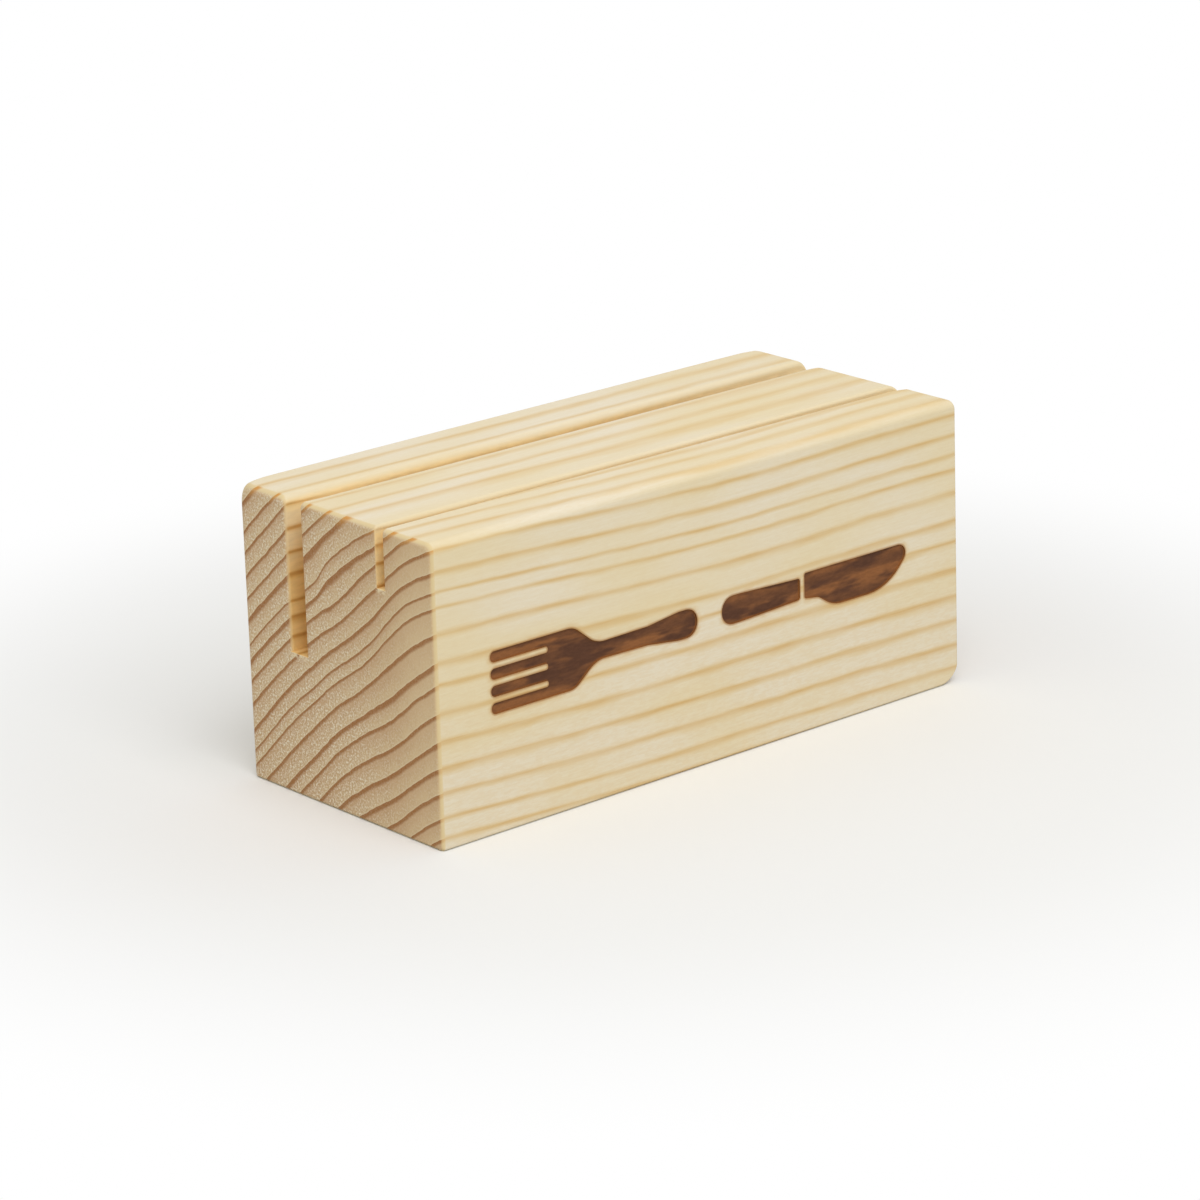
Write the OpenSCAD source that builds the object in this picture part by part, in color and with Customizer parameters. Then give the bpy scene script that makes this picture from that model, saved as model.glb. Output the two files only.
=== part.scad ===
// Menu holder: one block of planed softwood with two saw slots along its top.
// The deep slot towards the back holds a menu in its cover, the shallow one towards the front a card.
// The origin is the middle of the underside, +X runs along the slots, the front faces -Y and +Z is up.

/* [Block] */
// Length of the block, along its slots
block_length = 136; // [60:1:250]
// Depth of the block, from its front face to its back face
block_depth = 59; // [45:1:100]
// Height of the block
block_height = 60; // [40:1:100]

/* [Menu slot] */
// Width of the deep slot
menu_slot_width = 5; // [2:0.1:10]
// Depth of the deep slot, below the top face
menu_slot_depth = 31; // [10:0.5:38]
// Wood between the deep slot and the back face
menu_slot_back_wall = 15; // [6:0.1:25]
// Rounding of the front lip of the deep slot
menu_slot_front_lip_round = 1.1; // [0.2:0.1:3]
// Rounding of the back lip of the deep slot, which is sanded further
menu_slot_back_lip_round = 2; // [0.2:0.1:3]

/* [Card slot] */
// Width of the shallow slot
card_slot_width = 2.4; // [1:0.1:6]
// Depth of the shallow slot, below the top face
card_slot_depth = 12; // [4:0.5:36]
// Wood between the shallow slot and the front face
card_slot_front_wall = 14.2; // [6:0.1:24]
// Rounding of the front lip of the shallow slot
card_slot_front_lip_round = 0.9; // [0.2:0.1:3]
// Rounding of the back lip of the shallow slot, which is sanded further
card_slot_back_lip_round = 1.4; // [0.2:0.1:3]

/* [Sanded edges] */
// Rounding of the long edge at the front of the top
front_top_round = 2; // [0.2:0.1:5]
// Rounding of the long edge at the back of the top
back_top_round = 2; // [0.2:0.1:5]
// Rounding of the long edge at the front of the underside
front_bottom_round = 1.2; // [0.2:0.1:5]
// Rounding of the long edge at the back of the underside
back_bottom_round = 0.5; // [0.2:0.1:5]
// Rounding of the upper, lower and front edges of the left end
left_end_round = 1; // [0.2:0.1:5]
// Rounding of the upright edge at the back of the left end, which is sanded further
left_back_round = 2.2; // [0.2:0.1:5]
// Rounding of the two upright edges of the right end
right_end_round = 1.2; // [0.2:0.1:5]
// Rounding of the upper edge of the right end
right_top_round = 2.5; // [0.2:0.1:5]
// Rounding of the lower edge of the right end, which is sanded away furthest
right_foot_round = 5; // [0.2:0.1:6]
// Rounding of the edges where a slot runs out through an end
slot_end_round = 0.3; // [0.1:0.1:1.5]

/* [Hidden] */
$fn = 64;
// How far a cut runs past the surface that it starts from
overcut = 1;
menu_slot_y = block_depth / 2 - menu_slot_back_wall - menu_slot_width / 2;
card_slot_y = card_slot_front_wall + card_slot_width / 2 - block_depth / 2;

// What rounding takes off a square corner that lies at the origin and fills the first quadrant
module corner_waste(radius) {
    difference() {
        translate([-overcut, -overcut]) square(radius + overcut);
        translate([radius, radius]) circle(radius);
    }
}

// What rounding takes off the corners of a face that stands on the middle of its lower edge,
// with the radii in turn from the lower left, against the clock
module face_waste(width, height, radii) {
    translate([-width / 2, 0]) corner_waste(radii[0]);
    translate([width / 2, 0]) mirror([1, 0]) corner_waste(radii[1]);
    translate([width / 2, height]) rotate(180) corner_waste(radii[2]);
    translate([-width / 2, height]) mirror([0, 1]) corner_waste(radii[3]);
}

// A drawing of the end face, seen from the right with the front on its left, run through the length
module along_length() {
    rotate([90, 0, 90]) linear_extrude(block_length + 2 * overcut, center = true) children();
}

// A drawing of the front face, run through the depth
module along_depth() {
    rotate([90, 0, 0]) linear_extrude(block_depth + 2 * overcut, center = true) children();
}

// A drawing of the top face, run from a given height up past the top
module upwards_from(start) {
    translate([0, 0, start]) linear_extrude(block_height - start + overcut) children();
}

// A shape and its mirror image
module both_sides(normal) {
    children();
    mirror(normal) children();
}

// The block with all its edges rounded by sanding
module sanded_block() {
    long_edges = [front_bottom_round, back_bottom_round, back_top_round, front_top_round];
    level_end_edges = [left_end_round, right_foot_round, right_top_round, left_end_round];
    upright_end_edges = [left_end_round, right_end_round, right_end_round, left_back_round];
    difference() {
        translate([-block_length / 2, -block_depth / 2, 0]) cube([block_length, block_depth, block_height]);
        along_length() face_waste(block_depth, block_height, long_edges);
        along_depth() face_waste(block_length, block_height, level_end_edges);
        upwards_from(-overcut) translate([0, -block_depth / 2])
            face_waste(block_length, block_depth, upright_end_edges);
    }
}

// The space that a saw slot and the easing of its edges take up, with its middle over the X axis
module slot_space(width, depth, front_lip_round, back_lip_round) {
    slot_floor = block_height - depth;
    along_length() {
        translate([-width / 2, slot_floor]) square([width, depth + overcut]);
        translate([-width / 2, block_height]) rotate(180) corner_waste(front_lip_round);
        translate([width / 2, block_height]) mirror([0, 1]) corner_waste(back_lip_round);
    }
    upwards_from(slot_floor) both_sides([1, 0]) both_sides([0, 1])
        translate([-block_length / 2, width / 2]) corner_waste(slot_end_round);
}

module slotted_block() {
    color("burlywood") difference() {
        sanded_block();
        translate([0, menu_slot_y, 0])
            slot_space(menu_slot_width, menu_slot_depth, menu_slot_front_lip_round, menu_slot_back_lip_round);
        translate([0, card_slot_y, 0])
            slot_space(card_slot_width, card_slot_depth, card_slot_front_lip_round, card_slot_back_lip_round);
    }
}

slotted_block();
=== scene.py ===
from itertools import accumulate
from math import radians, sin, sqrt, tan

import bmesh
import bpy
from mathutils import Matrix, Vector
from mathutils.bvhtree import BVHTree


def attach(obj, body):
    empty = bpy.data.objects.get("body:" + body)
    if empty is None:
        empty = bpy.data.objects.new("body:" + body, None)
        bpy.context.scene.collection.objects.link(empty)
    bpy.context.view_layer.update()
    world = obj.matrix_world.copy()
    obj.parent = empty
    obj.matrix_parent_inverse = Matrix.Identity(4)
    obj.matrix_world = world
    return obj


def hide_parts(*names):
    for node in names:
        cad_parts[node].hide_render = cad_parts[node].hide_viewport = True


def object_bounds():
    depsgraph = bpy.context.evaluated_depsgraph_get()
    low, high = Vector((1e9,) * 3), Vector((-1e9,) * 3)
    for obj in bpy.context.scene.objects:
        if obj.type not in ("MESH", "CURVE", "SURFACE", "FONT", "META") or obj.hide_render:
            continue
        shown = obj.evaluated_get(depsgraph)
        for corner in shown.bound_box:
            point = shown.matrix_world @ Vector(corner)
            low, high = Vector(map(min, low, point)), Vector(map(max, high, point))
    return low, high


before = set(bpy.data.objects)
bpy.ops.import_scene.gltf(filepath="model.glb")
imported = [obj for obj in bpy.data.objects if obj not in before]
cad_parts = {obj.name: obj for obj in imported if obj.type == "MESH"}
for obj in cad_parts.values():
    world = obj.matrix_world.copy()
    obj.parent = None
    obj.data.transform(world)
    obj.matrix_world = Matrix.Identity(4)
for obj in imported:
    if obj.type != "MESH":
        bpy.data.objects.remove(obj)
cad_low, cad_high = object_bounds()
scene = bpy.context.scene

# Slotted block: the shape
# The whole holder is one length of planed softwood. Two saw slots run along its top, open at both ends,
# and every edge is rounded on a belt sander, the foot of the right end and the back corner furthest.
mm = 0.001
length, depth, height = (cad_high - cad_low) / mm
left, right = -length / 2, length / 2
front, back = -depth / 2, depth / 2
menu_slot_back_wall, menu_slot_width, menu_slot_depth = 15, 5, 31
card_slot_front_wall, card_slot_width, card_slot_depth = 14.2, 2.4, 12
# The saw ran slightly askew, so that both slots come nearer to the front towards the right end.
slot_skew = 0.8
# Roundings across the two ends. The slots divide the upper edge of an end into three strips.
left_rounds = {"back_strip": 1.5, "middle_strip": 1.2, "front_strip": 1.2, "foot": 0.7, "front_side": 1,
               "back_side": 2.2, "slot": 0.3, "menu_wall": 0.7, "slot_floor": 0.2}
right_rounds = {"back_strip": 3, "middle_strip": 3.4, "front_strip": 1.2, "foot": 5, "front_side": 0.75,
                "back_side": 2.5, "slot": 0.3, "menu_wall": 0.3, "slot_floor": 0.2}
# Roundings of the long edges: at the left, at the right, and what is added within reach of each end.
long_edges = {
    "front_foot": (0.6, 0.6, 0, 0),
    "back_foot": (0.5, 0.5, 0, 0),
    "back_top": (2, 2.6, 2, 2),
    "menu_back_lip": (2.4, 1, -1, 0),
    "menu_front_lip": (1, 1, -0.6, 1.6),
    "card_back_lip": (1, 0.6, -0.5, 0),
    "card_front_lip": (0.3, 0.6, 0, 0),
    "front_top": (2, 2, 0, -0.7),
}
end_reach = 7
# The front strip dips at its right corner. The right end leans, so that the block is shorter at the top.
front_corner_dip = 0.55
right_end_lean, lean_reach = 0.46, 12
# The front is divided finely where the sign is burnt in, so that the scorch follows the sign's outline.
sign_field, sign_grid = ((-58, 58), (21.5, 38.5)), 0.5
arc_steps = 8
sharp_angle = radians(40)


def steps_between(low, high, step):
    """Evenly spaced values from low to high."""
    return [low + i * step for i in range(round((high - low) / step) + 1)]


def rounded(corners, steps):
    """The outline through corners (a, b, radius), each rounded off by an arc of so many steps."""
    line = []
    for before, corner, after in zip(corners[-1:] + corners[:-1], corners, corners[1:] + corners[:1]):
        tip = Vector(corner[:2])
        radius = corner[2]
        if radius == 0:
            line.append(tip)
            continue
        ways = [(Vector(other[:2]) - tip).normalized() for other in (before, after)]
        half = ways[0].angle(ways[1]) / 2
        middle = tip + (ways[0] + ways[1]).normalized() * radius / sin(half)
        first, last = [tip + way * radius / tan(half) - middle for way in ways]
        line += [middle + first.slerp(last, step / steps) * radius for step in range(steps + 1)]
    return line


def sanded_off(x, place):
    """How far the rounding of the ends pulls in a strip, the foot, a side or a slot at x."""
    off = 0
    for radius, distance in ((left_rounds[place], x - left), (right_rounds[place], right - x)):
        if distance < radius:
            off = radius - sqrt(max(radius ** 2 - (radius - distance) ** 2, 0))
    return off


def close_to_ends(x):
    """How close x is to the left end and to the right end, from 0 to 1."""
    return [max(1 - gap / end_reach, 0) ** 2 for gap in (x - left, right - x)]


def section(x):
    """The outline of the block cut across at x, from the foot of the front round by the back."""
    share = (x - left) / length
    by_left, by_right = close_to_ends(x)
    rounds = {edge: at_left + (at_right - at_left) * share + more_left * by_left + more_right * by_right
              for edge, (at_left, at_right, more_left, more_right) in long_edges.items()}
    foot = sanded_off(x, "foot")
    back_top, middle_top, front_top = [height - sanded_off(x, strip + "_strip")
                                       for strip in ("back", "middle", "front")]
    front_top -= front_corner_dip * by_right
    near, far = front + sanded_off(x, "front_side"), back - sanded_off(x, "back_side")
    eased, lowered = sanded_off(x, "slot"), sanded_off(x, "slot_floor")
    menu_wall = back - menu_slot_back_wall - slot_skew * share
    menu_back, menu_front = menu_wall + sanded_off(x, "menu_wall"), menu_wall - menu_slot_width - eased
    menu_floor = height - menu_slot_depth - lowered
    card_wall = front + card_slot_front_wall - slot_skew * share
    card_front, card_back = card_wall - eased, card_wall + card_slot_width + eased
    card_floor = height - card_slot_depth - lowered
    corners = [
        (near, foot, rounds["front_foot"]),
        (far, foot, rounds["back_foot"]),
        (far, back_top, rounds["back_top"]),
        (menu_back, back_top, rounds["menu_back_lip"]),
        (menu_back, menu_floor, 0),
        (menu_front, menu_floor, 0),
        (menu_front, middle_top, rounds["menu_front_lip"]),
        (card_back, middle_top, rounds["card_back_lip"]),
        (card_back, card_floor, 0),
        (card_front, card_floor, 0),
        (card_front, front_top, rounds["card_front_lip"]),
        (near, front_top, rounds["front_top"]),
    ]
    down_the_sign = reversed(steps_between(*sign_field[1], sign_grid))
    return rounded(corners, arc_steps) + [Vector((near, z)) for z in down_the_sign]


# Cuts across the block lie close together over the roundings of its ends and along the sign.
arc = [1 - sin(radians(90 * step / arc_steps)) for step in range(arc_steps + 1)]
stations = {round(left + radius * share, 2) for radius in left_rounds.values() for share in arc}
stations |= {round(right - radius * share, 2) for radius in right_rounds.values() for share in arc}
stations |= {left + step for step in (3, 4.5, 6, 8)}
stations |= {right - step for step in (3, 4.2, 6, 8)}
stations |= set(steps_between(*sign_field[0], sign_grid))
shape = bmesh.new()
rims = []
for x in sorted(stations):
    shortened = right_end_lean * max(1 - (right - x) / lean_reach, 0) / height
    rim = [shape.verts.new(((x - shortened * z) * mm, y * mm, z * mm)) for y, z in section(x)]
    rims.append([shape.edges.new(ends) for ends in zip(rim, rim[1:] + rim[:1])])
for rim, next_rim in zip(rims, rims[1:]):
    bmesh.ops.bridge_loops(shape, edges=rim + next_rim)
for rim in (rims[0], rims[-1]):
    bmesh.ops.edgeloop_fill(shape, edges=rim)
bmesh.ops.recalc_face_normals(shape, faces=shape.faces)
for face in shape.faces:
    face.smooth = True
for edge in shape.edges:
    edge.smooth = edge.calc_face_angle(0) < sharp_angle
block_mesh = bpy.data.meshes.new("slotted_block_softwood")
shape.to_mesh(block_mesh)
shape.free()
block = bpy.data.objects.new("slotted_block_softwood", block_mesh)
scene.collection.objects.link(block)


# Slotted block: the wood
# Planed and sanded spruce, without oil or varnish. Pale wood of spring and summer alternates with thin
# brown lines of autumn wood, drawn as one solid pattern, so that lines meet at every edge.
def linear(code):
    """An sRGB hex colour as linear RGBA."""
    parts = [int(code[i:i + 2], 16) / 255 for i in (1, 3, 5)]
    return [*(c / 12.92 if c <= 0.04045 else ((c + 0.055) / 1.055) ** 2.4 for c in parts), 1]


def add(tree, kind, inputs=(), points=None, **settings):
    """Adds a node with its settings, its curve's points and its inputs, by name or in the node's own order.
    An input is a value, a hex colour, a socket or a node, whose first output is taken."""
    node = tree.nodes.new("ShaderNode" + kind)
    for name, value in settings.items():
        setattr(node, name, value)
    if isinstance(inputs, dict):
        fed = [(node.inputs[name], value) for name, value in inputs.items()]
    else:
        fed = list(zip([socket for socket in node.inputs if socket.enabled], inputs))
    for socket, value in fed:
        if isinstance(value, str):
            value = linear(value)
        if isinstance(value, bpy.types.Node):
            value = next(output for output in value.outputs if output.enabled)
        if isinstance(value, bpy.types.NodeSocket):
            tree.links.new(value, socket)
        else:
            socket.default_value = value
    if points:
        curve = node.mapping.curves[0]
        while len(curve.points) < len(points):
            curve.points.new(0.5, 0.5)
        for point, place in zip(curve.points, points):
            point.location = place
            point.handle_type = "AUTO_CLAMPED"
        node.mapping.update()
    return node


# Settings that many nodes share: a soft step between two values, a product from 0 to 1, a mix of two colours.
soft = {"interpolation_type": "SMOOTHSTEP"}
product = {"operation": "MULTIPLY", "use_clamp": True}
colour = {"data_type": "RGBA"}

# Lines of the rings on the end face, by the height at the back edge where each starts: how far the line has
# risen at each distance from the back, in millimetres.
ring_line_span = 60
ring_lines = [
    (-34, [(0, 0), (5, 4.7), (13, 12.5), (21, 19.9), (29, 26.9), (37, 32.3), (45, 37), (53, 42.8), (57, 45.3),
           (60, 47)]),
    (-14, [(0, 0), (5, 4.7), (13, 12.5), (21, 19.9), (29, 26.9), (37, 32.3), (45, 37.1), (53, 43), (60, 48)]),
    (4, [(0, 0), (5, 4.7), (13, 12.4), (21, 18.9), (29, 25.1), (37, 30.2), (41, 33.6), (45, 37.6), (49, 41),
         (53, 43.5), (60, 47)]),
    (16, [(0, 0), (5, 4.6), (13, 11.8), (21, 18.4), (25, 21.2), (29, 23.4), (33, 26.4), (37, 29.9),
          (41, 33.2), (49, 39.2), (53, 41.6), (60, 45.2)]),
    (24, [(0, 0), (5, 4.6), (13, 11.6), (20.5, 17), (24, 19.8), (27, 23.3), (30, 25.6), (37, 30.3),
          (41, 32.6), (60, 44)]),
    (33, [(0, 0), (5, 4.6), (13, 11.7), (21, 19), (25, 22.3), (29, 25.3), (33, 28.4), (60, 47)]),
]
# Widths of the rings from the lowest up, in millimetres, and how strong the autumn line of each is.
lowest_ring, ring_span = -49, 113
ring_widths = [5, 4, 4.9, 5, 4.9, 5.2, 5.5, 4.3, 6, 5.2, 3.1, 4.4, 5.2, 4.6, 4.2, 3.3, 5.2, 4.1, 4.7, 4.8,
               4.2, 5.7, 8]
ring_weights = [0.9, 0.9, 1, 1.1, 1.1, 0.9, 0.9, 1.4, 0.9, 0.8, 0.9, 1.15, 0.95, 1, 1.6, 0.7, 1.4, 0.9, 0.9,
                0.9, 0.9, 1, 0.9]
# How far the rings sink from the left end to each place along the front, low down and high up. At the back
# they sink a quarter as far.
drift_span, drift_scale = 140, 4
lower_drift = [(0, 0), (25, 1.2), (45, 1.93), (60, 2.18), (80, 2.27), (110, 2.67), (140, 3.4)]
upper_drift = [(0, 0), (20, 0.7), (40, 1.7), (60, 2.4), (78, 2.8), (95, 2.6), (115, 2.3), (140, 2.2)]
# Noises that bend the rings, and how far each lifts them. The last value sets them back to their height.
bends = {"sweep": ((60, 14, 14), 1.5, 0.5), "wobble": ((22, 2.4, 2.4), 2, 0.5), "kink": ((7, 3, 3), 1, 0.5)}
bend_rises = {"sweep": 0.9, "wobble": 0.35, "kink": 0.4}
bend_level = 1


def wood_grain(tree, spots):
    """The solid pattern of the wood: how far each point is through its ring, how strong the ring's line is,
    and noises by name, given by the size of their spots in millimetres along, across and up the block, by
    their detail and by their roughness."""
    coordinates = add(tree, "TexCoord")
    place = add(tree, "Mapping", {"Vector": coordinates.outputs["Object"], "Scale": (1 / mm, -1 / mm, 1 / mm),
                                  "Location": (-left, back, 0)})
    along = add(tree, "SeparateXYZ", [place])
    x, from_back, z = along.outputs
    noises = {}
    for name, (sizes, detail, roughness) in {**bends, **spots}.items():
        scaled = add(tree, "VectorMath", [place, [1 / size for size in sizes]], operation="MULTIPLY")
        noises[name] = add(tree, "TexNoise", {"Vector": scaled, "Scale": 1, "Detail": detail,
                                              "Roughness": roughness})
    share_along = add(tree, "Math", [x, drift_span], operation="DIVIDE", use_clamp=True)
    drifts = [
        add(tree, "FloatCurve", {"Value": share_along},
            points=[(at / drift_span, drop / drift_scale) for at, drop in line])
        for line in (lower_drift, upper_drift)
    ]
    high_up = add(tree, "MapRange", [z, 18, 42], **soft)
    drift = add(tree, "Mix", [high_up, *drifts], data_type="FLOAT")
    by_depth = add(tree, "MapRange", [from_back, 28, 52, drift_scale / 4, drift_scale], **soft)
    level = add(tree, "Math", [drift, by_depth, z], operation="MULTIPLY_ADD")
    for name, rise in bend_rises.items():
        level = add(tree, "Math", [noises[name], rise, level], operation="MULTIPLY_ADD")
    level = add(tree, "Math", [level, bend_level], operation="SUBTRACT")
    share_back = add(tree, "Math", [from_back, ring_line_span], operation="DIVIDE", use_clamp=True)
    rises = [
        add(tree, "FloatCurve", {"Value": share_back},
            points=[(u / ring_line_span, rise / ring_line_span) for u, rise in line])
        for _, line in ring_lines
    ]
    # A first guess from one line tells between which two lines a point lies, and they are then blended.
    guess = add(tree, "Math", [rises[2], -ring_line_span, level], operation="MULTIPLY_ADD")
    rise = rises[0]
    for (below, _), (above, _), next_rise in zip(ring_lines, ring_lines[1:], rises[1:]):
        share = add(tree, "MapRange", [guess, below, above], **soft)
        rise = add(tree, "Mix", [share, rise, next_rise], data_type="FLOAT")
    start = add(tree, "Math", [rise, -ring_line_span, level], operation="MULTIPLY_ADD")
    start_share = add(tree, "MapRange", [start, lowest_ring, lowest_ring + ring_span])
    count = len(ring_widths)
    edges = [0, *accumulate(ring_widths)]
    counted = add(tree, "FloatCurve", {"Value": start_share},
                  points=[(edge / ring_span, ring / count) for ring, edge in enumerate(edges)] + [(1, 1)])
    rings = add(tree, "Math", [counted, count], operation="MULTIPLY")
    phase = add(tree, "Math", [rings], operation="FRACT")
    ring = add(tree, "Math", [rings], operation="FLOOR")
    ring_share = add(tree, "Math", [ring, count], operation="DIVIDE")
    weight = add(tree, "FloatCurve", {"Value": ring_share},
                 points=[(i / count, strength / 2) for i, strength in enumerate(ring_weights)])
    return coordinates, along, phase, weight, noises


# Real fibres and cut fibre ends are a few hundredths of a millimetre across, too fine to show, so the fibres,
# flecks and pores are drawn some ten times coarser.
spruce = bpy.data.materials.new("spruce_planed_and_sanded")
spruce.use_nodes = True
tree = spruce.node_tree
tree.nodes.clear()
coordinates, along, phase, weight, noises = wood_grain(tree, {
    "swelling": ((16, 3, 3), 1, 0.5),
    "patches": ((14, 2.4, 2.4), 2, 0.5),
    "tint": ((45, 14, 14), 1, 0.5),
    "fibre": ((11, 0.32, 0.32), 3, 0.6),
    "flecks": ((1.6, 0.4, 0.4), 2, 0.6),
    "pores": ((4, 0.45, 0.45), 3, 0.7),
    "clumps": ((6, 2.2, 2.2), 2, 0.5),
    "saw_marks": ((3, 0.5, 0.8), 2, 0.5),
    "torn_chips": ((1, 0.7, 0.5), 2, 0.5),
    "smoke": ((3, 3, 1.2), 2, 0.5),
})
x, from_back, z = along.outputs
facing = add(tree, "SeparateXYZ", [coordinates.outputs["Normal"]])
upward = add(tree, "MapRange", [facing.outputs["Z"], 0.3, 0.8], **soft)
endwise = add(tree, "Math", [facing.outputs["X"]], operation="ABSOLUTE")

# Autumn wood: it starts gradually within a ring and ends sharply, with a darker core. Its lines are wider and
# softer on the top, where the rings are cut at a slant.
off_back = add(tree, "MapRange", [from_back, 12, 26, 0.3, 1], **soft)
far_right = add(tree, "MapRange", [x, 70, 110], **soft)
off_back = add(tree, "Math", [off_back, far_right], operation="MAXIMUM")
off_left = add(tree, "MapRange", [x, 20, 80, 0.35, 1], **soft)
soft_on_top = upward
for share in (off_left, off_back):
    soft_on_top = add(tree, "Math", [soft_on_top, share], **product)
wider_on_top = add(tree, "MapRange", [soft_on_top, 0, 1, 1, 1.3])
wider_low_down = add(tree, "MapRange", [z, 16, 36, 1.05, 0.92], **soft)
wider_right = add(tree, "MapRange", [x, 50, 120, 1, 1.2], **soft)
swelling = add(tree, "MapRange", [noises["swelling"], 0.3, 0.7, 0.75, 1.25], **soft)
evened = add(tree, "MapRange", [x, 10, 70, 0, 0.75], **soft)
wide = add(tree, "Mix", [evened, weight, 0.5], data_type="FLOAT")
for widening in (wider_low_down, wider_right, wider_on_top, swelling):
    wide = add(tree, "Math", [wide, widening], **product)
late_start = add(tree, "Math", [wide, -0.62, 1], operation="MULTIPLY_ADD")
late_full = add(tree, "Math", [wide, -0.12, 1], operation="MULTIPLY_ADD")
late_end = add(tree, "MapRange", [soft_on_top, 0, 1, 0.2, 0.36])
darkening = add(tree, "MapRange", [phase, late_start, late_full], **soft)
fading = add(tree, "MapRange", [phase, 0, late_end, 1, 0], **soft)
late = add(tree, "Math", [darkening, fading], operation="MAXIMUM")
core_start = add(tree, "Math", [wide, -0.3, 1], operation="MULTIPLY_ADD")
darkening = add(tree, "MapRange", [phase, core_start, 0.98], **soft)
fading = add(tree, "MapRange", [phase, 0, 0.1, 1, 0], **soft)
core = add(tree, "Math", [darkening, fading], operation="MAXIMUM")

# Long grain, on the top, front, back and underside: soft tan stripes on cream, patchy along the fibres. The
# cream yellows towards the ends, on the right of the top and just under the upper edges.
off_centre = add(tree, "Math", [x, length * 0.45], operation="SUBTRACT")
off_centre = add(tree, "Math", [off_centre], operation="ABSOLUTE")
tint = add(tree, "Math", [off_centre, 0.25 / length, noises["tint"]], operation="MULTIPLY_ADD")
yellow_top = add(tree, "MapRange", [x, 60, 130, 0.02, 0.1], **soft)
off_front = add(tree, "MapRange", [from_back, 42, 50, 1, 0], **soft)
for share in (upward, off_front):
    yellow_top = add(tree, "Math", [yellow_top, share], **product)
yellow_sides = add(tree, "MapRange", [facing.outputs["Z"], 0.3, 0.8, 0.12, 0], **soft)
under_edge = add(tree, "MapRange", [z, 48, 56], **soft)
yellow_sides = add(tree, "Math", [yellow_sides, under_edge], **product)
for yellow in (yellow_top, yellow_sides):
    tint = add(tree, "Math", [tint, yellow], operation="ADD")
tint = add(tree, "MapRange", [tint, 0.4, 0.78], **soft)
long_wood = add(tree, "Mix", [tint, "#F1E6CE", "#EFDFB9"], **colour)
patchy = add(tree, "MapRange", [noises["patches"], 0.3, 0.68, 0.6, 1], **soft)
weaker_on_top = add(tree, "MapRange", [upward, 0, 1, 0.68, 0.6])
late_share = late
for share in (patchy, weaker_on_top):
    late_share = add(tree, "Math", [late_share, share], **product)
long_wood = add(tree, "Mix", [late_share, long_wood, "#E4C280"], **colour)
core_strength = add(tree, "MapRange", [soft_on_top, 0, 1, 0.5, 0.2])
low_down = add(tree, "MapRange", [z, 20, 40, 1, 0], **soft)
core_strength = add(tree, "Math", [low_down, 0.1, core_strength], operation="MULTIPLY_ADD")
broken = add(tree, "MapRange", [noises["fibre"], 0.3, 0.7, 0.4, 1], **soft)
core_share = core
for share in (broken, patchy, core_strength):
    core_share = add(tree, "Math", [core_share, share], **product)
long_wood = add(tree, "Mix", [core_share, long_wood, "#D3A35B"], **colour)
fibre_share = add(tree, "MapRange", [noises["fibre"], 0.3, 0.75, 0.14, 0], **soft)
long_wood = add(tree, "Mix", [fibre_share, long_wood, "#DCC590"], **colour)
fleck_share = add(tree, "MapRange", [noises["flecks"], 0.35, 0.65, 0.24, 0], **soft)
fewer_high_up = add(tree, "MapRange", [z, 20, 40, 1, 0.5], **soft)
fleck_share = add(tree, "Math", [fleck_share, fewer_high_up], **product)
long_wood = add(tree, "Mix", [fleck_share, long_wood, "#E4C793"], **colour)

# End grain: brown lines with a crisp outer side, and cut fibre ends that show as whitish specks. Towards the
# front it is sanded smoother and paler, and low down at the back it is rougher and darker.
ripening = add(tree, "MapRange", [phase, 0.05, 0.8], **soft)
end_wood = add(tree, "Mix", [ripening, "#DCC092", "#D0AC82"], **colour)
clump_share = add(tree, "MapRange", [noises["clumps"], 0.35, 0.7, 0, 0.3], **soft)
end_wood = add(tree, "Mix", [clump_share, end_wood, "#C1996A"], **colour)
paler = add(tree, "MapRange", [from_back, 42, 55], **soft)
paler_high_up = add(tree, "MapRange", [z, 12, 36, 0.22, 0.45], **soft)
paler = add(tree, "Math", [paler, paler_high_up], **product)
end_wood = add(tree, "Mix", [paler, end_wood, "#E8CDA0"], **colour)
darker = add(tree, "MapRange", [from_back, 20, 45, 0.16, 0], **soft)
darker_low_down = add(tree, "MapRange", [z, 14, 32, 1, 0], **soft)
darker = add(tree, "Math", [darker, darker_low_down], **product)
end_wood = add(tree, "Mix", [darker, end_wood, "#B98B58"], **colour)
rougher = add(tree, "MapRange", [from_back, 24, 54, 1, 0.2], **soft)
rougher_low_down = add(tree, "MapRange", [z, 12, 36, 1.35, 1], **soft)
rougher = add(tree, "Math", [rougher, rougher_low_down], operation="MULTIPLY")
early = add(tree, "MapRange", [phase, 0.3, 0.95, 1, 0.4], **soft)
crowded = add(tree, "MapRange", [noises["clumps"], 0.3, 0.6, 0.5, 1], **soft)
speck_share = early
for share in (crowded, rougher, add(tree, "MapRange", [noises["pores"], 0.45, 0.64], **soft)):
    speck_share = add(tree, "Math", [speck_share, share], **product)
end_wood = add(tree, "Mix", [speck_share, end_wood, "#F8EDD3"], **colour)
spring_share = add(tree, "MapRange", [phase, 0.02, 0.1, 0.5, 0], **soft)
end_wood = add(tree, "Mix", [spring_share, end_wood, "#EBD6AC"], **colour)
autumn_start = add(tree, "Math", [weight, -0.52, 1], operation="MULTIPLY_ADD")
autumn_full = add(tree, "Math", [weight, -0.22, 1], operation="MULTIPLY_ADD")
autumn = add(tree, "MapRange", [phase, autumn_start, autumn_full], **soft)
pierced = add(tree, "MapRange", [noises["pores"], 0.3, 0.7, 1, 0.75], **soft)
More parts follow.
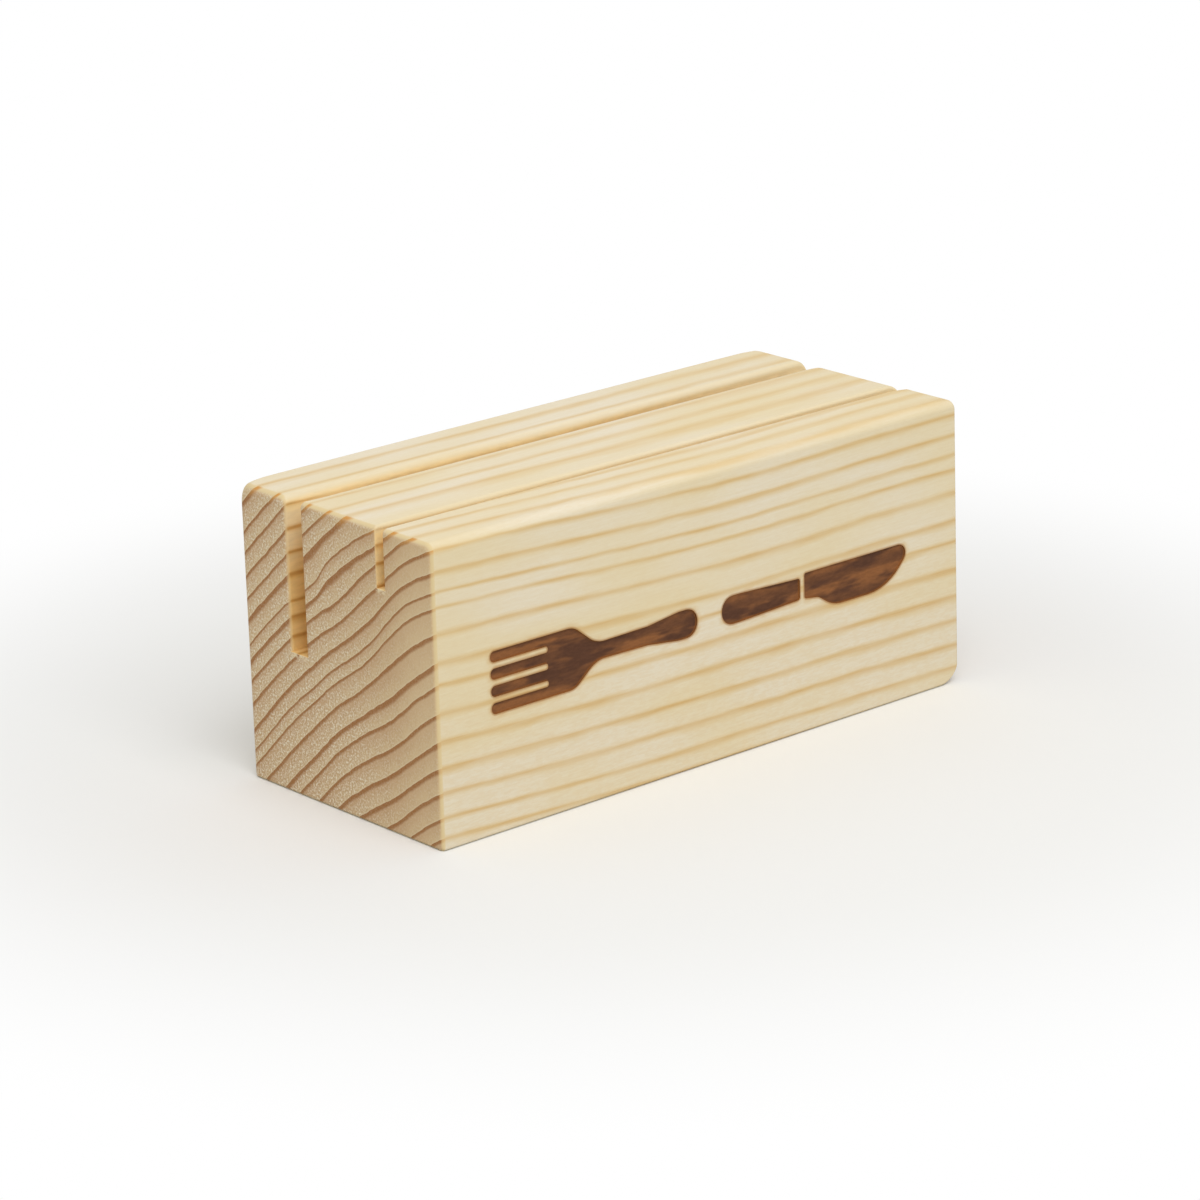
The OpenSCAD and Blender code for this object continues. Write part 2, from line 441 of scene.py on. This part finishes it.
autumn_share = add(tree, "Math", [autumn, pierced], **product)
near_top = add(tree, "MapRange", [z, height - 3, height - 0.7], **soft)
autumn_brown = add(tree, "Mix", [near_top, "#A46D39", "#C98F48"], **colour)
end_wood = add(tree, "Mix", [autumn_share, end_wood, autumn_brown], **colour)

# Saw slots: the walls that the blade cut are golden brown up to the sanded lips, whose depth changes from the
# left end to the right, and their colour also holds painted light and shade. The floor is torn where it runs
# out.
menu_slot_middle = menu_slot_back_wall + menu_slot_width / 2
card_slot_middle = depth - card_slot_front_wall - card_slot_width / 2
slots = (
    (menu_slot_middle, menu_slot_width, height - menu_slot_depth, (0.9, 1)),
    (card_slot_middle, card_slot_width, height - card_slot_depth, (0.8, 0.6)),
)
slot_masks, sawn_masks, floor_masks = [], [], []
for middle, width, floor_level, lips in slots:
    off_middle = add(tree, "Math", [from_back, middle], operation="SUBTRACT")
    off_middle = add(tree, "Math", [off_middle], operation="ABSOLUTE")
    between_walls = add(tree, "MapRange", [off_middle, width / 2 + 0.5, width / 2 + 0.9, 1, 0], **soft)
    above_floor = add(tree, "MapRange", [z, floor_level - 1, floor_level - 0.5], **soft)
    slot_masks.append(add(tree, "Math", [between_walls, above_floor], **product))
    lip_level = add(tree, "MapRange", [x, 0, length, height - lips[0], height - lips[1]])
    under_lip = add(tree, "Math", [lip_level, z], operation="SUBTRACT")
    under_lip = add(tree, "MapRange", [under_lip, -0.5, 1], **soft)
    sawn_masks.append(add(tree, "Math", [slot_masks[-1], under_lip], **product))
    floor_end = add(tree, "MapRange", [off_middle, width / 2 - 0.1, width / 2 + 0.5, 1, 0], **soft)
    from_below = add(tree, "MapRange", [z, floor_level - 1.1, floor_level - 0.3], **soft)
    from_above = add(tree, "MapRange", [z, floor_level + 0.1, floor_level + 0.6, 1, 0], **soft)
    for share in (from_below, from_above):
        floor_end = add(tree, "Math", [floor_end, share], **product)
    floor_masks.append(floor_end)
in_slot, is_sawn, is_floor_end = [add(tree, "Math", masks, operation="MAXIMUM")
                                  for masks in (slot_masks, sawn_masks, floor_masks)]
# Painted light and shade: the wall is painted paler higher up, lighter still just under the lips and towards
# the right end, where more light reaches in, and a deeper gold low down in the slot's shade.
painted_light_to_right = add(tree, "MapRange", [x, 80, 130], **soft)
painted_light_under_lips = add(tree, "Mix", [painted_light_to_right, "#FFE2A6", "#FFEBBC"], **colour)
paler_high_up = add(tree, "MapRange", [z, height - 18, height - 6], **soft)
sawn_wall_and_painted_light = add(tree, "Mix", [paler_high_up, "#F7D18C", "#F4DDB0"], **colour)
near_lips = add(tree, "MapRange", [z, height - 4, height - 1.5], **soft)
sawn_wall_and_painted_light = add(tree, "Mix", [near_lips, sawn_wall_and_painted_light, painted_light_under_lips], **colour)
# The card slot's cut walls are painted one bright gold, painted light against the shade of its narrow gap.
sawn_wall_and_painted_light = add(tree, "Mix", [sawn_masks[1], sawn_wall_and_painted_light, "#FFE3A8"], **colour)
below_lips = add(tree, "MapRange", [z, height - 6, height - 2.5, 0.62, 0.1], **soft)
near_left = add(tree, "MapRange", [x, 2, 14, 0.5, 0], **soft)
line_strength = add(tree, "Math", [below_lips, near_left], operation="MAXIMUM")
for line, brown in ((late, "#DFAE5C"), (core, "#BE8438")):
    line_share = add(tree, "Math", [line, line_strength], **product)
    sawn_wall_and_painted_light = add(tree, "Mix", [line_share, sawn_wall_and_painted_light, brown], **colour)
scored = add(tree, "MapRange", [noises["saw_marks"], 0.3, 0.7, 0.94, 1.03], **soft)
sawn_wall_and_painted_light = add(tree, "Mix", [1, sawn_wall_and_painted_light, scored], blend_type="MULTIPLY", **colour)
plainer = add(tree, "Math", [in_slot, 0.4], **product)
long_wood = add(tree, "Mix", [plainer, long_wood, "#EFDFB8"], **colour)
long_wood = add(tree, "Mix", [is_sawn, long_wood, sawn_wall_and_painted_light], **colour)

# Arrises between long grain and end grain: autumn wood shows there as orange spots.
tilted = add(tree, "Math", [facing.outputs["Z"], -0.3, endwise], operation="MULTIPLY_ADD")
end_share = add(tree, "MapRange", [tilted, 0.45, 0.9], **soft)
wood = add(tree, "Mix", [end_share, long_wood, end_wood], **colour)
arris = add(tree, "MapRange", [endwise, 0.15, 0.5], **soft)
off_end = add(tree, "MapRange", [endwise, 0.75, 0.97, 1, 0], **soft)
weaker_right = add(tree, "MapRange", [x, 20, 60, 1, 0.3], **soft)
for share in (off_end, weaker_right):
    arris = add(tree, "Math", [arris, share], **product)
weaker_upright = add(tree, "MapRange", [facing.outputs["Z"], 0.1, 0.5, 0.35, 1], **soft)
spots = add(tree, "Math", [autumn, weaker_upright], **product)
arris_wood = add(tree, "Mix", [spots, "#E8D09C", "#D58F30"], **colour)
off_slots = add(tree, "Math", [1, in_slot], operation="SUBTRACT")
# Inside the slots the arrises get a duller tan, painted shade that dims their lit side.
for where, strength, tone in ((off_slots, 0.85, arris_wood), (in_slot, 0.5, "#DDC08E")):
    arris_share = add(tree, "Math", [arris, where], **product)
    arris_share = add(tree, "Math", [arris_share, strength], **product)
    wood = add(tree, "Mix", [arris_share, wood, tone], **colour)
torn = add(tree, "MapRange", [noises["torn_chips"], 0.35, 0.6], **soft)
on_end = add(tree, "MapRange", [endwise, 0.3, 0.6], **soft)
for share in (on_end, is_floor_end):
    torn = add(tree, "Math", [torn, share], **product)
wood = add(tree, "Mix", [torn, wood, "#F0DDB4"], **colour)

# Scorch: around the burnt sign the wood is browned along a thin rim and tinted by smoke for a millimetre.
from_burn = add(tree, "Attribute", attribute_name="from_burn").outputs["Fac"]
near_burn = add(tree, "MapRange", [from_burn, 0.2, 1.5, 1, 0], **soft)
smoke = add(tree, "MapRange", [noises["smoke"], 0.3, 0.75, 0.1, 0.65], **soft)
halo = add(tree, "Math", [near_burn, smoke], **product)
wood = add(tree, "Mix", [halo, wood, "#DDB97E"], **colour)
scorched = add(tree, "MapRange", [from_burn, 0.05, 0.5, 0.75, 0], **soft)
wood = add(tree, "Mix", [scorched, wood, "#AE7940"], **colour)

# Relief: raised autumn lines on long grain, open fibre ends on end grain.
raised_lines = add(tree, "Math", [noises["fibre"], core], operation="ADD")
open_ends = add(tree, "Math", [noises["pores"], rougher], **product)
relief = add(tree, "Mix", [end_share, raised_lines, open_ends], data_type="FLOAT")
bump = add(tree, "Bump", {"Strength": 0.2, "Distance": 0.05 * mm, "Height": relief})
surface = add(tree, "BsdfPrincipled", {"Base Color": wood, "Roughness": 0.62, "Specular IOR Level": 0.3,
                                       "Normal": bump})
add(tree, "OutputMaterial", {"Surface": surface})
block.data.materials.append(spruce)

# Burnt fork and knife
# The sign of a laid table, burnt a third of a millimetre into the front face with a laser, fork and knife
# end to end. The beam leaves dark brown char, darkest along the ring lines, and a faint scorch around it.
burn_depth = 0.35
sign_height = height / 2
rim_width = 0.4
# Outlines run through corners given along and up from the middle of the sign, each with its rounding.
tine_reach, tine_root, tine_width, tine_pitch = -55, -41, 2.2, 3.4
tine_tip_round, tine_root_round = 1, 0.55
fork_side = [(-34.5, 6.2, 4.2), (-29, 1.7, 6), (-16, 1.9, 0), (-8, 2.9, 7), (-3.2, 2.9, 2.8)]
fork = [(a, -b, radius) for a, b, radius in fork_side]
fork += [(a, b, radius) for a, b, radius in reversed(fork_side)]
for tine in (1.5, 0.5, -0.5, -1.5):
    upper, lower = tine * tine_pitch + tine_width / 2, tine * tine_pitch - tine_width / 2
    fork += [(tine_reach, upper, tine_tip_round), (tine_reach, lower, tine_tip_round)]
    if tine > -1.5:
        next_upper = upper - tine_pitch
        fork += [(tine_root, lower, tine_root_round), (tine_root, next_upper, tine_root_round)]
knife_handle = [(3.2, -2.9, 2.8), (8, -2.9, 7), (24, -2.2, 0.6), (24, 2.2, 0.6), (8, 2.9, 7), (3.2, 2.9, 2.8)]
knife_blade = [(25.2, 3, 0.5), (25.2, -2.2, 0.5), (29, -2.8, 2), (33, -5.4, 8), (48, -5.4, 12), (55.5, 3, 2)]
overcut, corner_steps = 1, 6
cutter_shape = bmesh.new()
for corners in (fork, knife_handle, knife_blade):
    outline = [(a * mm, (front - overcut) * mm, (sign_height + b) * mm)
               for a, b in rounded(corners, corner_steps)]
    flat = cutter_shape.faces.new([cutter_shape.verts.new(corner) for corner in outline])
    pushed = bmesh.ops.extrude_face_region(cutter_shape, geom=[flat], use_keep_orig=True)["geom"]
    far_side = [part for part in pushed if isinstance(part, bmesh.types.BMVert)]
    bmesh.ops.translate(cutter_shape, verts=far_side, vec=(0, (overcut + burn_depth) * mm, 0))
    bottom = [part for part in pushed if isinstance(part, bmesh.types.BMFace)]
    bmesh.ops.inset_region(cutter_shape, faces=bottom, thickness=rim_width * mm, use_even_offset=True)
bmesh.ops.recalc_face_normals(cutter_shape, faces=cutter_shape.faces)
cutter_shape.verts.index_update()
walls = [[v.index for v in face.verts] for face in cutter_shape.faces if abs(face.normal.y) < 0.5]
burnt_walls = BVHTree.FromPolygons([v.co for v in cutter_shape.verts], walls)
cutter_mesh = bpy.data.meshes.new("laser_path")
cutter_shape.to_mesh(cutter_mesh)
cutter_shape.free()
cutter = bpy.data.objects.new("laser_path", cutter_mesh)
scene.collection.objects.link(cutter)

# Charred spruce: matt, dark brown, paler and reddish where the beam bit less and along the rim. Its grit is
# drawn coarser than soot is, so that it shows.
char = bpy.data.materials.new("spruce_charred_by_laser")
char.use_nodes = True
tree = char.node_tree
tree.nodes.clear()
_, _, phase, _, noises = wood_grain(tree, {"singed": ((9, 3, 2.2), 2, 0.5), "grit": ((1.5, 1, 0.5), 2, 0.5)})
after_line = add(tree, "MapRange", [phase, 0.15, 0.6], **soft)
before_line = add(tree, "MapRange", [phase, 0.8, 0.97, 1, 0.1], **soft)
between_lines = add(tree, "Math", [after_line, before_line], **product)
between_lines = add(tree, "Math", [between_lines, 0.8, 0.35], operation="MULTIPLY_ADD")
lightness = add(tree, "MapRange", [noises["singed"], 0.38, 0.66], **soft)
lightness = add(tree, "Math", [lightness, between_lines], **product)
burnt = add(tree, "Mix", [lightness, "#5D3C2A", "#915E37"], **colour)
gritty = add(tree, "MapRange", [noises["grit"], 0.3, 0.7, 0.9, 1.08], **soft)
burnt = add(tree, "Mix", [1, burnt, gritty], blend_type="MULTIPLY", **colour)
from_burn = add(tree, "Attribute", attribute_name="from_burn").outputs["Fac"]
rim_share = add(tree, "MapRange", [from_burn, 0, rim_width, 0.6, 0], **soft)
burnt = add(tree, "Mix", [rim_share, burnt, "#A3682F"], **colour)
bump = add(tree, "Bump", {"Strength": 0.5, "Distance": 0.1 * mm, "Height": noises["grit"]})
surface = add(tree, "BsdfPrincipled", {"Base Color": burnt, "Roughness": 0.8, "Specular IOR Level": 0.2,
                                       "Normal": bump})
add(tree, "OutputMaterial", {"Surface": surface})
cutter_mesh.materials.append(char)
burning = block.modifiers.new("burnt_away", "BOOLEAN")
burning.operation = "DIFFERENCE"
burning.object = cutter
burning.solver = "EXACT"
burning.material_mode = "TRANSFER"
block.data = bpy.data.meshes.new_from_object(block.evaluated_get(bpy.context.evaluated_depsgraph_get()))
block.modifiers.clear()
bpy.data.objects.remove(cutter)
# Every vertex keeps its distance from the edge of the sign in millimetres, which scorch and rim read.
gaps = [burnt_walls.find_nearest(vertex.co)[3] / mm for vertex in block.data.vertices]
block.data.attributes.new("from_burn", "FLOAT", "POINT").data.foreach_set("value", gaps)
shading = block.modifiers.new("flat_faces_stay_flat", "WEIGHTED_NORMAL")
shading.keep_sharp = True
block.data.set_sharp_from_angle(angle=sharp_angle)
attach(block, "root")
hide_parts("slotted_block")

# Studio: floor, light and camera
# A plain white floor that runs out of the picture, one large soft lamp in front and a pale room.
floor_mesh = bpy.data.meshes.new("studio_floor")
sweep = bmesh.new()
bmesh.ops.create_grid(sweep, x_segments=1, y_segments=1, size=4)
bmesh.ops.translate(sweep, verts=sweep.verts, vec=(0, 0, -0.05 * mm))
sweep.to_mesh(floor_mesh)
sweep.free()
floor = bpy.data.objects.new("studio_floor", floor_mesh)
scene.collection.objects.link(floor)
paper = bpy.data.materials.new("studio_paper_matt_white")
paper.use_nodes = True
tree = paper.node_tree
tree.nodes.clear()
coordinates = add(tree, "TexCoord")
from_object = add(tree, "VectorMath", [coordinates.outputs["Object"]], operation="LENGTH")
away = add(tree, "MapRange", [from_object.outputs["Value"], 0.1, 0.2], **soft)
rays = add(tree, "LightPath")
seen_white = add(tree, "Math", [away, rays.outputs["Is Camera Ray"]], **product)
paper_colour = add(tree, "Mix", [rays.outputs["Is Camera Ray"], "#D3D3D1", "#F7F7F5"], **colour)
matt = add(tree, "BsdfDiffuse", {"Color": paper_colour})
white = add(tree, "Emission", {"Color": (1, 1, 1, 1), "Strength": 1})
both = add(tree, "MixShader", [seen_white, matt, white])
add(tree, "OutputMaterial", {"Surface": both})
floor_mesh.materials.append(paper)

world = bpy.data.worlds.new("pale_studio")
world.use_nodes = True
scene.world = world
tree = world.node_tree
tree.nodes.clear()
rays = add(tree, "LightPath")
seen = rays.outputs["Is Camera Ray"]
for ray in ("Is Glossy Ray", "Is Transmission Ray"):
    seen = add(tree, "Math", [seen, rays.outputs[ray]], operation="MAXIMUM")
brightness = add(tree, "MapRange", [seen, 0, 1, 0.62, 1])
room = add(tree, "Background", {"Color": (1, 1, 1, 1), "Strength": brightness})
add(tree, "OutputWorld", {"Surface": room})

softbox = bpy.data.lights.new("softbox", "AREA")
softbox.shape = "SQUARE"
softbox.size = 1.2
softbox.energy = 13.8
lamp = bpy.data.objects.new("softbox", softbox)
lamp.location = (-0.35, -0.97, 1.42)
lamp.rotation_euler = (Vector((0, 0, 0.03)) - lamp.location).to_track_quat("-Z", "Y").to_euler()
scene.collection.objects.link(lamp)

# The camera's place, turn and focal length are those at which the block's outline is as in the photograph.
lens = bpy.data.cameras.new("camera")
lens.sensor_width = 36
lens.lens = 139.6
camera = bpy.data.objects.new("camera", lens)
camera_place = Vector((-570.5, -664.51, 313.49)) * mm
heading, tilt, roll = radians(-40.522), radians(90 - 18.129), radians(-1.694)
turn = Matrix.Rotation(heading, 4, "Z") @ Matrix.Rotation(tilt, 4, "X") @ Matrix.Rotation(roll, 4, "Z")
camera.matrix_world = Matrix.Translation(camera_place) @ turn
scene.collection.objects.link(camera)
scene.camera = camera
scene.view_settings.view_transform = "Standard"

bpy.context.view_layer.update()
